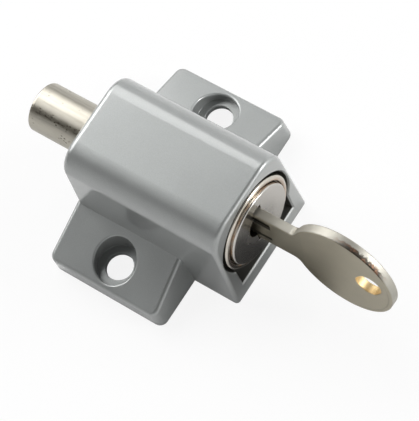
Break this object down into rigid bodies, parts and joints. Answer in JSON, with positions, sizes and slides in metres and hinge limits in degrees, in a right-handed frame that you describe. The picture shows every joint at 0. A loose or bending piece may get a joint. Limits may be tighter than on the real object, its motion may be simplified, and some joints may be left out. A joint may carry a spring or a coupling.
{
  "type": "patio door lock",
  "caption": "Surface-mounted sliding-door lock: a push-in keyed barrel drives a round sprung bolt through a die-cast housing with screw ears; key in place.",
  "frame": {"origin": "midway between the two fixing holes, on the mounting face", "axes": "+X the way the bolt throws, +Z away from the door leaf, +Y along the line of the fixing holes"},
  "size_m": [0.0863, 0.05, 0.0294],
  "materials": {
    "silver_lacquer": "gloss metallic lacquer on die-cast zinc",
    "zinc_plate": "bright zinc plate",
    "spring_steel": "oiled spring steel",
    "nickel_plate": "satin nickel plate",
    "ring_nickel": "bright nickel plate over brass",
    "bolt_nickel": "drawn bar, nickel plated, lightly scratched",
    "brass": "turned or stamped brass",
    "disc_nickel": "mirror nickel plate",
    "key_nickel": "stamped key blank, nickel plated"
  },
  "bodies": {
    "housing": {"housing": "silver_lacquer", "stop_screw": "zinc_plate", "return_spring": "spring_steel"},
    "carriage": {"barrel": "nickel_plate", "bezel_ring": "ring_nickel", "bolt": "bolt_nickel", "bolt_pin": "spring_steel", "catch_leaf": "spring_steel", "leaf_rivet": "brass"},
    "plug": {"plug": "brass", "plug_disc": "disc_nickel", "plug_clip": "spring_steel", "tail_cam": "zinc_plate", "wafer_1": "brass", "wafer_2": "brass", "wafer_3": "brass", "wafer_4": "brass", "wafer_5": "brass", "wafer_spring_1": "spring_steel", "wafer_spring_2": "spring_steel", "wafer_spring_3": "spring_steel", "wafer_spring_4": "spring_steel", "wafer_spring_5": "spring_steel"},
    "key": {"key": "key_nickel"}
  },
  "joints": [
    {"name": "carriage_slide", "type": "slide", "parent": "housing", "child": "carriage", "axis": [-1, 0, 0], "range_m": [0, 0.014], "deforming": ["return_spring"]},
    {"name": "key_turn", "type": "hinge", "parent": "carriage", "child": "plug", "pos_m": [0, 0, 0.0164], "axis": [1, 0, 0], "range_deg": [-8.2, 81.8], "deforming": ["catch_leaf"]},
    {"name": "key_withdraw", "type": "slide", "parent": "plug", "child": "key", "axis": [-1, 0, 0], "range_m": [0, 0.0145]}
  ]
}
